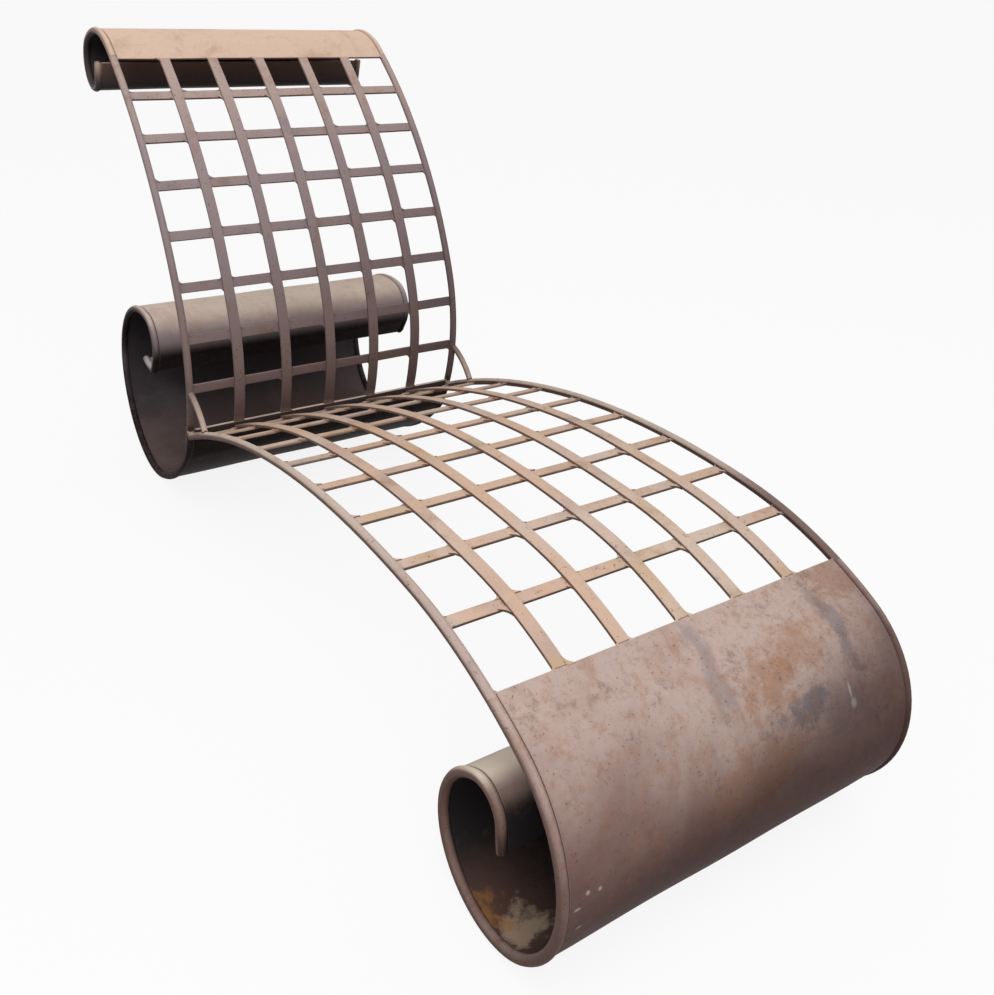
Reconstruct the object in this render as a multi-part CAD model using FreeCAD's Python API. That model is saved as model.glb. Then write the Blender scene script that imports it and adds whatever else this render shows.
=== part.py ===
import FreeCAD, Part
import math
import os

# A welded iron chaise longue: two bent strips of flat bar lattice, each ending in rolled plate.
# The back strip runs from the head roll down to the rear scroll on the floor.
# The seat strip runs from the foot of the back to the front scroll on the floor.
# Round bars edge both strips and follow every roll, with lattice and plate welded in between them.
# They are drawn with six flats, two of them upright, so that what is welded to them ends against a flat.
# Millimetres and degrees. +X is the width, -Y the foot end, +Z up from the floor.

# Stock sizes
overall_width = 606.0
plate_thickness = 5.0
long_bar_width = 20.5
long_bar_thickness = 5.0
cross_bar_width = 19.0
cross_bar_thickness = 5.0
edge_bar_diameter = 13.5
edge_bar_rise = 2.5
bar_flats = 6
long_bar_count = 5

# Back lattice, from its foot up to the head roll
back_rows = 8
back_foot_angle = 14.0
back_low_radius = 401.0
back_low_angle = 37.1
back_high_radius = 949.0
back_high_angle = 33.1

# Head roll: flat lead, crown, curl, then a lip folded up inside
head_lead = 34.0
head_crown_radius = 150.0
head_crown_angle = 67.0
head_curl_radius = 55.0
head_curl_angle = 172.0
head_fold_inside = 9.0
head_fold_angle = 52.0
head_lip = 45.0

# Rear scroll: heel that carries on the back's curve, set bend, sweep, roll, curl, then a lip folded inwards
rear_heel = 69.0
rear_set_radius = 60.0
rear_set_angle = 15.0
rear_sweep_radius = 409.0
rear_sweep_angle = 31.0
rear_roll_radius = 187.5
rear_roll_angle = 208.0
rear_curl_radius = 59.0
rear_curl_angle = 112.0
rear_drop = 28.0
rear_fold_inside = 11.0
rear_fold_angle = 72.0
rear_lip = 44.0

# Seat lattice, from the back rail forward to the front scroll
seat_rows = 9
seat_drop = 14.0
seat_rear_radius = 1619.0
seat_rear_angle = 31.4
seat_front_radius = 618.0
seat_front_angle = 23.3
seat_row_start = 8.4
seat_rail_width = 14.0

# Front scroll: flat lead, bend, roll, curl, then a hanging lip
front_lead = 74.0
front_bend_radius = 178.0
front_bend_angle = 106.2
front_roll_radius = 114.0
front_roll_angle = 201.8
front_curl_radius = 44.0
front_curl_angle = 105.0
front_lip = 36.0

# Braces between the edge bars of the back and of the seat
brace_diameter = 11.0
brace_rise = 86.0
brace_reach = 104.0
brace_bow = 9.0

# Widths and depths that follow from the stock sizes
edge_radius = edge_bar_diameter / 2
edge_middle = overall_width / 2 - edge_radius
edge_inner = edge_middle - edge_radius
edge_depth = edge_radius - edge_bar_rise
long_bar_pitch = 2 * edge_middle / (long_bar_count + 1)
cross_depth = long_bar_thickness


def left_of(heading):
    """Unit step to the left of a heading, as (y, z)."""
    return -math.sin(heading), math.cos(heading)


class Run:
    """One arc of a strip, or a straight where the angle is nought."""

    def __init__(self, size, angle, along, start, heading):
        self.size = size
        self.turn = math.radians(angle)
        self.along = along
        self.start = start
        self.heading = heading
        self.length = size * abs(self.turn) if angle else size

    def centre(self):
        """Centre of the arc."""
        side_y, side_z = left_of(self.heading)
        reach = math.copysign(self.size, self.turn)
        return self.start[0] + reach * side_y, self.start[1] + reach * side_z

    def place(self, distance):
        """The point on the outer face and the heading, a distance on from the run's start."""
        if not self.turn:
            y = self.start[0] + distance * math.cos(self.heading)
            z = self.start[1] + distance * math.sin(self.heading)
            return (y, z), self.heading
        heading = self.heading + self.turn * distance / self.length
        centre_y, centre_z = self.centre()
        side_y, side_z = left_of(heading)
        reach = math.copysign(self.size, self.turn)
        return (centre_y - reach * side_y, centre_z - reach * side_z), heading


class Strip:
    """A side profile of tangent runs, measured along its outer face. The first run may go on backwards."""

    def __init__(self, start, heading, inside, sizes):
        """inside is +1 where the metal lies left of the way along, -1 where it lies right."""
        self.inside = inside
        self.runs = {}
        self.length = 0.0
        heading = math.radians(heading)
        for name, (size, angle) in sizes.items():
            run = Run(size, angle, self.length, start, heading)
            start, heading = run.place(run.length)
            self.runs[name] = run
            self.length += run.length

    def run_at(self, along):
        """The run that holds a distance along the strip."""
        for run in self.runs.values():
            if along < run.along + run.length:
                return run
        return run

    def point(self, along, depth, run=None):
        """The point a distance along the strip and a depth below its outer face."""
        run = run or self.run_at(along)
        (y, z), heading = run.place(along - run.along)
        side_y, side_z = left_of(heading)
        step = depth * self.inside
        return y + step * side_y, z + step * side_z

    def spans(self, first, last):
        """The stretch from first to last, split where one run meets the next."""
        joints = [run.along for run in list(self.runs.values())[1:] if first < run.along < last]
        ends = [first] + joints + [last]
        return list(zip(ends[:-1], ends[1:]))


def vector(x, place):
    """A space vector from a width position and a (y, z) place."""
    return FreeCAD.Vector(x, place[0], place[1])


def face_edges(strip, first, last, depth, x):
    """The edges of one face of a band, end to end."""
    edges = []
    for start, end in strip.spans(first, last):
        middle = (start + end) / 2
        run = strip.run_at(middle)
        points = [vector(x, strip.point(along, depth, run)) for along in (start, middle, end)]
        if run.turn:
            edges.append(Part.Arc(*points).toShape())
        else:
            edges.append(Part.LineSegment(points[0], points[-1]).toShape())
    return edges


def band(strip, first, last, depth, thickness, left, right):
    """A length of bar or plate bent to the strip, as one solid."""
    outer = face_edges(strip, first, last, depth, left)
    inner = face_edges(strip, first, last, depth + thickness, left)
    ends = []
    for along in (first, last):
        corners = [vector(left, strip.point(along, level)) for level in (depth, depth + thickness)]
        ends.append(Part.LineSegment(*corners).toShape())
    outline = Part.Wire(Part.__sortEdges__(outer + inner + ends))
    return Part.Face(outline).extrude(FreeCAD.Vector(right - left, 0, 0))


def sweep(strip, first, last, section):
    """A section, drawn square to the strip at first, carried along it to last."""
    path = Part.Wire(Part.__sortEdges__(face_edges(strip, first, last, 0.0, 0.0)))
    return path.makePipe(section)


def bar_corners(radius):
    """The corners of a round bar's section, drawn with flats, as steps across and down from its middle."""
    step = math.pi / bar_flats
    reach = radius / math.cos(step)
    turns = [step * (2 * number + 1) for number in range(bar_flats)]
    return [(reach * math.cos(turn), reach * math.sin(turn)) for turn in turns]


def bar_section(strip, first, x, depth, radius):
    """A round bar's section, square to the strip."""
    corners = []
    for across, down in bar_corners(radius):
        corners.append(vector(x + across, strip.point(first, depth + down)))
    return Part.Face(Part.makePolygon(corners + corners[:1]))


def round_bar(strip, first, last, x):
    """An edge bar bent to the strip."""
    return sweep(strip, first, last, bar_section(strip, first, x, edge_depth, edge_radius))


def disc(run, radius):
    """Everything inside a circle about an arc's centre, right across the width."""
    base = vector(-overall_width, run.centre())
    return Part.makeCylinder(radius, 2 * overall_width, base, FreeCAD.Vector(1, 0, 0))


def rear_strip(foot):
    """The rear scroll, which carries on from the foot of the back and sweeps down to the floor."""
    sizes = {
        "heel": (back_low_radius, math.degrees(rear_heel / back_low_radius)),
        "set": (rear_set_radius, rear_set_angle),
        "sweep": (rear_sweep_radius, rear_sweep_angle),
        "roll": (rear_roll_radius, rear_roll_angle),
        "curl": (rear_curl_radius, rear_curl_angle),
        "drop": (rear_drop, 0),
        "fold": (rear_fold_inside + plate_thickness, rear_fold_angle),
        "lip": (rear_lip, 0),
    }
    return Strip(foot, 270 + back_foot_angle, 1, sizes)


def back_strip(foot):
    """The back lattice and the head roll."""
    sizes = {
        "low": (back_low_radius, -back_low_angle),
        "high": (back_high_radius, -back_high_angle),
        "crown": (head_crown_radius, -head_crown_angle),
        "curl": (head_curl_radius, -head_curl_angle),
        "fold": (head_fold_inside + plate_thickness, -head_fold_angle),
        "lip": (head_lip, 0),
    }
    return Strip(foot, 90 + back_foot_angle, -1, sizes)


def seat_strip(start, heading):
    """The seat lattice and the front scroll."""
    sizes = {
        "rear": (seat_rear_radius, seat_rear_angle),
        "front": (seat_front_radius, seat_front_angle),
        "bend": (front_bend_radius, front_bend_angle),
        "roll": (front_roll_radius, front_roll_angle),
        "curl": (front_curl_radius, front_curl_angle),
        "lip": (front_lip, 0),
    }
    return Strip(start, heading, 1, sizes)


def seat_heading(start):
    """The heading at the seat's rear that brings the front roll down to the floor."""
    roll_y, roll_z = seat_strip((0, 0), 0).runs["roll"].centre()
    rise = (front_roll_radius + edge_rise - start[1]) / math.hypot(roll_y, roll_z)
    return math.degrees(math.pi - math.asin(rise) - math.atan2(roll_z, roll_y))


# How far the edge bars stand above the plates
edge_rise = max(down for across, down in bar_corners(edge_radius)) - edge_depth

# The rear roll stands on the floor, which sets the height of the back's foot
foot_height = rear_roll_radius + edge_rise - rear_strip((0, 0)).runs["roll"].centre()[1]
foot = (0.0, foot_height)
rear = rear_strip(foot)
back = back_strip(foot)
head_edge = back.runs["crown"].along - head_lead

# The seat starts at the rear face of the rear scroll's heel, a little below the foot
seat_start = back.point(-seat_drop, plate_thickness)
seat = seat_strip(seat_start, seat_heading(seat_start))
front_edge = seat.runs["bend"].along - front_lead

# The seat's bars are drawn on past the heel, then trimmed to what they meet there
seat_tail = -rear_heel
behind_heel = disc(back.runs["low"], back_low_radius)
behind_heel_bar = disc(back.runs["low"], back_low_radius + edge_rise)


def cross_bar_starts(first, last, rows):
    """Where each cross bar starts between two ends, with equal openings."""
    opening = (last - first - (rows - 1) * cross_bar_width) / rows
    pitch = opening + cross_bar_width
    return [first + opening + pitch * n for n in range(rows - 1)]


def make_scrolls(parts):
    """The three rolled plates."""
    ends = {"head_scroll": (back, head_edge), "rear_scroll": (rear, 0.0), "front_scroll": (seat, front_edge)}
    for name, (strip, first) in ends.items():
        parts[name] = band(strip, first, strip.length, 0.0, plate_thickness, -edge_inner, edge_inner)


def make_edge_bars(parts):
    """Round bars down both sides of the back, the rear scroll and the seat, to the ends of the rolls."""
    for side, x in (("left", -edge_middle), ("right", edge_middle)):
        parts["back_edge_bar_" + side] = round_bar(back, 0.0, back.length, x)
        parts["rear_edge_bar_" + side] = round_bar(rear, 0.0, rear.length, x)
        parts["seat_edge_bar_" + side] = round_bar(seat, seat_tail, seat.length, x).cut(behind_heel_bar)


def make_long_bars(parts):
    """Flat bars laid lengthwise over the cross bars, flush with the plates."""
    for number in range(long_bar_count):
        middle = long_bar_pitch * (number - (long_bar_count - 1) / 2)
        size = (0.0, long_bar_thickness, middle - long_bar_width / 2, middle + long_bar_width / 2)
        parts["back_long_bar_%d" % (number + 1)] = band(back, 0.0, head_edge, *size)
        seat_bar = band(seat, seat_tail, front_edge, *size)
        parts["seat_long_bar_%d" % (number + 1)] = seat_bar.cut(behind_heel)


def make_cross_bars(parts):
    """Flat bars from edge bar to edge bar under the long bars, and the rail at the seat's rear."""
    size = (cross_depth, cross_bar_thickness, -edge_inner, edge_inner)
    for number, start in enumerate(cross_bar_starts(0.0, head_edge, back_rows), 1):
        parts["back_cross_bar_%d" % number] = band(back, start, start + cross_bar_width, *size)
    for number, start in enumerate(cross_bar_starts(seat_row_start, front_edge, seat_rows), 1):
        parts["seat_cross_bar_%d" % number] = band(seat, start, start + cross_bar_width, *size)
    parts["seat_rear_rail"] = band(seat, seat_tail, seat_rail_width, *size).cut(behind_heel)


def make_braces(parts):
    """Bowed round bars that tie the back's edge bars to the seat's, trimmed to both."""
    top = back.point(brace_rise, edge_depth)
    toe = seat.point(brace_reach, edge_depth)
    run_y = toe[0] - top[0]
    run_z = toe[1] - top[1]
    chord = math.hypot(run_y, run_z)
    radius = (chord * chord / 4 + brace_bow * brace_bow) / (2 * brace_bow)
    half_turn = math.asin(chord / 2 / radius)
    heading = math.atan2(run_z, run_y) - half_turn
    bow = Strip(top, math.degrees(heading), 1, {"bow": (radius, math.degrees(2 * half_turn))})
    for side, x in (("left", -edge_middle), ("right", edge_middle)):
        brace = sweep(bow, 0.0, bow.length, bar_section(bow, 0.0, x, 0.0, brace_diameter / 2))
        for bar in ("back_edge_bar_", "seat_edge_bar_"):
            brace = brace.cut(parts[bar + side])
        parts["brace_" + side] = brace


parts = {}
make_scrolls(parts)
make_edge_bars(parts)
make_long_bars(parts)
make_cross_bars(parts)
make_braces(parts)

# The origin stands on the floor, midway along the overall length
box = Part.makeCompound(list(parts.values())).optimalBoundingBox(False, False)
to_origin = FreeCAD.Vector(0, -(box.YMin + box.YMax) / 2, 0)
os.makedirs("parts", exist_ok=True)
for name, shape in parts.items():
    solid = shape.Solids[0]
    solid.translate(to_origin)
    solid.exportStep("parts/%s.step" % name)
    print(name, "solids", len(shape.Solids), "valid", solid.isValid(), "volume", round(solid.Volume))
print("length %.1f, height %.1f to %.1f" % (box.YLength, box.ZMin, box.ZMax))
print("foot height %.1f, foot at y %.2f" % (foot_height, to_origin.y))
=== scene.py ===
import math

import bmesh
import bpy
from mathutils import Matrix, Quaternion, Vector, noise


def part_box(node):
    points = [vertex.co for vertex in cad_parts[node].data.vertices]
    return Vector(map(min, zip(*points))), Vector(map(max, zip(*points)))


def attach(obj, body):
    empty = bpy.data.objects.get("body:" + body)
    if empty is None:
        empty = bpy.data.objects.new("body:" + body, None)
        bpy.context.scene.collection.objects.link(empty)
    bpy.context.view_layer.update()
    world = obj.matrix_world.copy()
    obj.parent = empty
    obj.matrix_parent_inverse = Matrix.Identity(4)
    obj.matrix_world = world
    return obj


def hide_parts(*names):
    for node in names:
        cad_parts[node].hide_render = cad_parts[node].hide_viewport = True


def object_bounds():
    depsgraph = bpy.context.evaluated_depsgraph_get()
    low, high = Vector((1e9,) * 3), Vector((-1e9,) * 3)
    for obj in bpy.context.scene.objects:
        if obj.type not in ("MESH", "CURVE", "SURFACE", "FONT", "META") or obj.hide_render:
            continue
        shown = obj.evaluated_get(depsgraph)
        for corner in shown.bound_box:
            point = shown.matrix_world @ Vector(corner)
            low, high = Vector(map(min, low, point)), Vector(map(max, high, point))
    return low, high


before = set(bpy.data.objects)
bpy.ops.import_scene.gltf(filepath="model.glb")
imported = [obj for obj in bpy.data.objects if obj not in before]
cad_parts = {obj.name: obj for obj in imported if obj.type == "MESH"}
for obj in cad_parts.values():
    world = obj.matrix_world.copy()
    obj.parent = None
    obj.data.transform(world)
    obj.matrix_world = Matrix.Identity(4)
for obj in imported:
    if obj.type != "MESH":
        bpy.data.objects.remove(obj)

bl_info = {
    "name": "Lattice Chaise Longue",
    "version": (1, 0, 0),
    "blender": (4, 5, 0),
    "location": "View3D > Sidebar > Chaise",
    "description": "Dresses a welded iron chaise longue in forged edges, welds and a weathered finish",
    "category": "Object",
}

CAD_BOX = [list(corner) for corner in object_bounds()]
BOX_LOW = Vector(CAD_BOX[0])
BOX_HIGH = Vector(CAD_BOX[1])
SEAT_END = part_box("seat_long_bar_1")[0][1]
PLATE_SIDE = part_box("front_scroll")[1][0]
LATTICE_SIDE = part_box("seat_long_bar_5")[1][0]
SEAT_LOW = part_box("seat_long_bar_1")[0][2]
BACK_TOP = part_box("back_long_bar_1")[1]

PLATES = ("head_scroll", "rear_scroll", "front_scroll")
ROLL_RADIUS = {"head_scroll": 0.055, "rear_scroll": 0.1875, "front_scroll": 0.114}
# Greatest facing, reach before the roll's middle, height above it and fade of the painted shade on a lip's
# dark side
LIPS = {"head_scroll": (0.2, 0.06, 0.0, 0.005), "front_scroll": (-0.1, 0.02, 0.099, 0.012)}
RIM_ENDS = {"back": "head", "rear": "rear", "seat": "front"}
EDGE_BARS = ("back_edge_bar_", "rear_edge_bar_", "seat_edge_bar_")
PANELS = {
    "back": ("rear_scroll", "back_cross_bar_", "head_scroll"),
    "seat": ("seat_rear_rail", "seat_cross_bar_", "front_scroll"),
}
FACE_UP = Vector((0.0, -0.6, 0.8))

# How the stock is worked
SHARP_CORNER = math.radians(35)
ROD_CORNER = math.radians(75)
BOX_EASE = 0.02
WANDER_FIELDS = (Vector((9.3, -1.5, -7.9)), Vector((-3.7, 2.2, 5.4)), Vector((6.1, 11.8, -3.3)))
CURL_REACH = 0.15
CURL_RISE = 0.05
EDGE_BAR_FROM, EDGE_BAR_TO = 0.280, 0.288
PLATE_SPREAD = 0.4
ROD_SPREAD = -0.3

# Where the corner welds sit
NARROW_FACE = 0.0085
LONG_FACE = 0.5
WELD_BITE = 0.0016
BAR_PROUD = 0.0014
PLATE_PROUD = 0.0003
LESSER_WELD = 0.62

# Shine of the iron, floor, sky, lamp and camera
SHINE = 0.12
REAR_SHINE = 0.04
FLOOR_SIDE = 90.0
FLOOR_SHADE = 0.12
FLOOR_BOUNCE = (0.10, 0.095, 0.09)
WHITE = (1.0, 1.0, 1.0, 1.0)
SKY_LEVEL = 0.65
LAMP_PLACE = Vector((-1.0, -1.8, 3.0))
LAMP_AIM = Vector((0.0, -0.1, 0.4))
LAMP_SIZE = 2.4
LAMP_POWER = 48.0
SENSOR_WIDTH = 36.0


# Sizes and colours that a user would change

class ForgeSettings(bpy.types.PropertyGroup):
    """How far the stock departs from sharp, straight mill bar."""
    plate_edge: bpy.props.FloatProperty(
        name="Plate edge", description="Rounding of the rolled plates' edges", default=0.0012, unit="LENGTH")
    bar_edge: bpy.props.FloatProperty(
        name="Bar edge", description="Rounding of the flat bars' edges", default=0.0010, unit="LENGTH")
    rod_edge: bpy.props.FloatProperty(
        name="Rod edge", description="Rounding that makes the edge bars round", default=0.0036, unit="LENGTH")
    brace_edge: bpy.props.FloatProperty(
        name="Brace edge", description="Rounding that makes the braces round", default=0.0027, unit="LENGTH")
    wander: bpy.props.FloatProperty(
        name="Wander", description="How far hammering leaves a line from true", default=0.0013, unit="LENGTH")
    wander_span: bpy.props.FloatProperty(
        name="Wander span", description="Distance between one wave and the next", default=0.17, unit="LENGTH")
    step: bpy.props.FloatProperty(
        name="Step", description="Spacing of the cuts across the width", default=0.03, unit="LENGTH")


class WeldSettings(bpy.types.PropertyGroup):
    """Weld metal in the lattice's corners."""
    back_leg: bpy.props.FloatProperty(
        name="Back leg", description="Length of a corner weld along each bar of the back",
        default=0.0090, unit="LENGTH")
    seat_leg: bpy.props.FloatProperty(
        name="Seat leg", description="Length of a corner weld along each bar of the seat",
        default=0.0110, unit="LENGTH")
    thickness: bpy.props.FloatProperty(
        name="Thickness", description="Depth of a corner weld", default=0.0028, unit="LENGTH")
    hollow: bpy.props.FloatProperty(
        name="Hollow", description="Fullness of the weld's open side", default=0.24)
    spread: bpy.props.FloatProperty(
        name="Spread", description="How much one weld differs from the next", default=0.35)
    seed: bpy.props.IntProperty(name="Seed", description="Fixed start for the welds' sizes", default=7)


def shade(name, words, value):
    """A colour property."""
    return bpy.props.FloatVectorProperty(
        name=name, description=words, default=value, size=3, min=0.0, max=1.0, subtype="COLOR")


class FinishSettings(bpy.types.PropertyGroup):
    """Colours of the weathered iron, and of the painted light and shade laid on it."""
    # The tan and mauve pairs below are mixed by facing, so besides the patina's own hue they carry painted
    # light: upward faces lighter than upright ones.
    front_tan: shade("Front tan", "Pale patina on top of the front scroll", (0.57, 0.435, 0.385))
    front_mauve: shade("Front mauve", "Patina on the front scroll's upright face", (0.36, 0.235, 0.205))
    rear_tan: shade("Rear tan", "Pale patina on top of the rear scroll", (0.84, 0.665, 0.575))
    rear_mauve: shade("Rear mauve", "Patina on the rear scroll's upright face", (0.34, 0.275, 0.285))
    head_tan: shade("Head tan", "Pale patina on top of the head roll", (0.86, 0.63, 0.48))
    head_mauve: shade("Head mauve", "Patina on the head roll's upright face", (0.78, 0.54, 0.45))
    bar_tan: shade("Bar tan", "Dry, pale patina on the seat's bars", (0.70, 0.485, 0.365))
    bar_grey: shade("Bar grey", "Bleached patina on the seat's bars", (0.68, 0.56, 0.475))
    bar_mauve: shade("Bar mauve", "Cooler patina on the bars", (0.42, 0.325, 0.325))
    # The next two colours are painted shade low down and under the scrolls, in dark patina colours.
    deep_shade: shade("Deep", "Damp, dark patina low down and underneath", (0.16, 0.080, 0.072))
    rear_shade: shade("Night", "Nearly black scale under the rear scroll", (0.022, 0.014, 0.014))
    # This colour is painted shade, multiplied over the front scroll's far side and foot, the rims' ends, the
    # lower back and the right side of the seat.
    shade_tint: shade("Dusk", "How the metal dulls towards one end", (0.40, 0.35, 0.35))
    rust: shade("Rust", "Orange rust bloom", (0.40, 0.205, 0.12))
    # Umber is old dark rust, and on the bars also the colour of painted shade on side faces, undersides and
    # rounded edges.
    umber: shade("Umber", "Old dark rust", (0.16, 0.085, 0.065))
    slate: shade("Slate", "Blue grey mill scale", (0.23, 0.205, 0.225))
    soot: shade("Soot", "Pits and shut corners", (0.035, 0.028, 0.028))
    # Inside the rolls these dark scale colours also carry painted shade.
    front_inside: shade("Front inside", "Bare dark scale inside the front roll", (0.036, 0.031, 0.033))
    rear_inside: shade("Rear inside", "Bare dark scale inside the rear roll", (0.088, 0.078, 0.086))
    head_inside: shade("Head inside", "Bare dark scale inside the head roll", (0.085, 0.074, 0.078))
    dust: shade("Dust", "Dust in the bottom of the rolls", (0.50, 0.37, 0.27))
    mist: shade("Mist", "Paler scale in the rear roll", (0.185, 0.155, 0.160))
    # Painted highlight on top of the front roll's curl and the rear scroll.
    curl: shade("Curl", "Dry, pale patina on top of the front roll's curl", (0.95, 0.80, 0.66))
    ochre: shade("Ochre", "Bright rust where water lies", (0.44, 0.20, 0.06))
    chalk: shade("Chalk", "Splashes of old paint", (0.72, 0.67, 0.63))
    worn: shade("Worn", "Rubbed edges", (0.60, 0.45, 0.39))
    straw: shade("Straw", "Heat tint beside the welds", (0.60, 0.40, 0.20))


class StageSettings(bpy.types.PropertyGroup):
    """Floor, light and camera."""
    floor: shade("Floor", "Colour of the floor", (0.94, 0.94, 0.94))
    camera_place: bpy.props.FloatVectorProperty(
        name="Camera place", description="Where the camera stands", default=(-0.8334, -1.4010, 1.1046),
        subtype="TRANSLATION", unit="LENGTH")
    azimuth: bpy.props.FloatProperty(
        name="Azimuth", description="Turn of the view about the vertical",
        default=math.radians(-33.588), unit="ROTATION")
    elevation: bpy.props.FloatProperty(
        name="Elevation", description="Height of the view above level",
        default=math.radians(24.737), unit="ROTATION")
    roll: bpy.props.FloatProperty(
        name="Roll", description="Tilt of the camera about its own axis",
        default=math.radians(3.42), unit="ROTATION")
    lens: bpy.props.FloatProperty(
        name="Lens", description="Focal length in millimetres", default=36.0)
    shift: bpy.props.FloatVectorProperty(
        name="Shift", description="Lens shift that frames the view", default=(0.0466, -0.0928), size=2)


# Node building

def add(tree, kind, inputs=None, **settings):
    """A node with its settings made and its inputs linked or filled in."""
    node = tree.nodes.new(kind)
    for name, value in settings.items():
        setattr(node, name, value)
    for key, value in (inputs or {}).items():
        socket = node.inputs[key]
        if isinstance(value, bpy.types.NodeSocket):
            tree.links.new(value, socket)
        else:
            socket.default_value = value
    return node


def math_node(tree, operation, first, second=0.0, third=0.0):
    """The result of one sum on two or three numbers."""
    return add(tree, "ShaderNodeMath", {0: first, 1: second, 2: third}, operation=operation).outputs[0]


def times(tree, first, second):
    """One number by another."""
    return math_node(tree, "MULTIPLY", first, second)


def greater(tree, first, second):
    """The greater of two numbers."""
    return math_node(tree, "MAXIMUM", first, second)


def minus(tree, first, second):
    """One number less another."""
    return math_node(tree, "SUBTRACT", first, second)


def vector_math(tree, operation, first, second=(0.0, 0.0, 0.0)):
    """The result of one sum on two vectors."""
    node = add(tree, "ShaderNodeVectorMath", {0: first, 1: second}, operation=operation)
    return node.outputs["Value" if operation == "LENGTH" else "Vector"]


def band_of(tree, value, low, high, top=1.0):
    """Rises smoothly from nought at low to top at high, or falls where low is the greater."""
    inputs = {"Value": value, "From Min": low, "From Max": high, "To Min": 0.0, "To Max": top}
    return add(tree, "ShaderNodeMapRange", inputs, interpolation_type="SMOOTHSTEP").outputs["Result"]


def grain(tree, place, scale, detail=4.0, roughness=0.55, distortion=0.0):
    """Noise of one scale, in waves to the metre."""
    return add(tree, "ShaderNodeTexNoise", {
        "Vector": place, "Scale": scale, "Detail": detail, "Roughness": roughness,
        "Distortion": distortion}).outputs["Fac"]


def colour_mix(tree, factor, first, second, blend="MIX"):
    """One colour laid over another."""
    node = tree.nodes.new("ShaderNodeMix")
    node.data_type = "RGBA"
    node.blend_type = blend
    sockets = {socket.identifier: socket for socket in node.inputs}
    for key, value in (("Factor_Float", factor), ("A_Color", first), ("B_Color", second)):
        if isinstance(value, bpy.types.NodeSocket):
            tree.links.new(value, sockets[key])
        elif key == "Factor_Float":
            sockets[key].default_value = value
        else:
            sockets[key].default_value = (*value, 1.0)
    return next(socket for socket in node.outputs if socket.identifier == "Result_Color")


def iron(name):
    """An empty iron material, its node tree and its shader."""
    material = bpy.data.materials.new(name)
    material.use_nodes = True
    tree = material.node_tree
    tree.nodes.clear()
    shader = add(tree, "ShaderNodeBsdfPrincipled")
    shader.inputs["Specular IOR Level"].default_value = SHINE
    add(tree, "ShaderNodeOutputMaterial", {"Surface": shader.outputs["BSDF"]})
    return material, tree, shader


class Surface:
    """Where a point of the metal lies and how it faces, for its colours to follow."""

    def __init__(self, tree):
        given = add(tree, "ShaderNodeTexCoord").outputs
        self.place = given["Object"]
        split = add(tree, "ShaderNodeSeparateXYZ", {"Vector": self.place}).outputs
        self.across, self.along, self.height = split["X"], split["Y"], split["Z"]
        self.aside = math_node(tree, "ABSOLUTE", split["X"])
        facing = add(tree, "ShaderNodeSeparateXYZ", {"Vector": given["Normal"]}).outputs
        self.upward = facing["Z"]
        self.sideways = math_node(tree, "ABSOLUTE", facing["X"])
        drift = add(tree, "ShaderNodeTexNoise", {
            "Vector": self.place, "Scale": 16.0, "Detail": 5.0, "Roughness": 0.65})
        shift = vector_math(tree, "SUBTRACT", drift.outputs["Color"], (0.5, 0.5, 0.5))
        shift = vector_math(tree, "MULTIPLY", shift, (0.09, 0.09, 0.09))
        self.ragged = vector_math(tree, "ADD", self.place, shift)


def close_iron(tree, shader, colour, roughness, height, depth):
    """Joins colour, roughness and relief to the shader."""
    tree.links.new(colour, shader.inputs["Base Color"])
    tree.links.new(roughness, shader.inputs["Roughness"])
    bump = add(tree, "ShaderNodeBump", {"Strength": 0.5, "Distance": depth, "Height": height})
    tree.links.new(bump.outputs["Normal"], shader.inputs["Normal"])


def painted(tree, name):
    """A measure that was painted on the mesh."""
    return add(tree, "ShaderNodeAttribute", attribute_name=name).outputs["Fac"]


def blot(tree, place, centre, reach, top, torn=0.0):
    """A blot about a centre, reaching so far along each axis, its border torn by a measure."""
    away = vector_math(tree, "SUBTRACT", place, centre)
    away = vector_math(tree, "DIVIDE", away, reach)
    return band_of(tree, math_node(tree, "ADD", vector_math(tree, "LENGTH", away), torn), 1.25, 0.35, top)


FRONT_BLOTS = (
    ("slate", (-0.012, -0.770, 0.322), (0.016, 0.075, 0.060), 0.42),
    ("slate", (0.210, -0.785, 0.312), (0.018, 0.075, 0.070), 0.60),
    ("slate", (0.100, -0.842, 0.262), (0.060, 0.020, 0.022), 0.85),
    ("slate", (0.175, -0.850, 0.250), (0.070, 0.040, 0.045), 0.40),
    ("rust", (0.062, -0.805, 0.301), (0.055, 0.036, 0.036), 0.65),
    ("rust", (0.125, -0.782, 0.318), (0.045, 0.034, 0.034), 0.50),
    ("rust", (-0.010, -0.867, 0.208), (0.090, 0.034, 0.050), 0.55),
    ("rust", (0.262, -0.735, 0.340), (0.040, 0.040, 0.030), 0.50),
    ("worn", (-0.255, -0.745, 0.335), (0.060, 0.060, 0.040), 0.35),
)
FRONT_SPLASHES = (
    ((0.186, -0.852, 0.245), (0.0066, 0.0090, 0.0078)),
    ((0.184, -0.843, 0.261), (0.0030, 0.0100, 0.0120)),
    ((-0.265, -0.871, 0.188), (0.0034, 0.0060, 0.0036)),
    ((-0.248, -0.872, 0.185), (0.0034, 0.0060, 0.0036)),
    ((-0.279, -0.873, 0.172), (0.0056, 0.0060, 0.0024)),
    ((-0.272, -0.872, 0.139), (0.0052, 0.0060, 0.0024)),
)
RUST_POOL = ((-0.280, -0.732, 0.011), (0.020, 0.028, 0.020))
DUST_POOL = ((-0.262, -0.778, 0.010), (0.040, 0.038, 0.017))
LIP_CUT = ((-0.300, 0.570, 0.270), (0.012, 0.026, 0.012))
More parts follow.
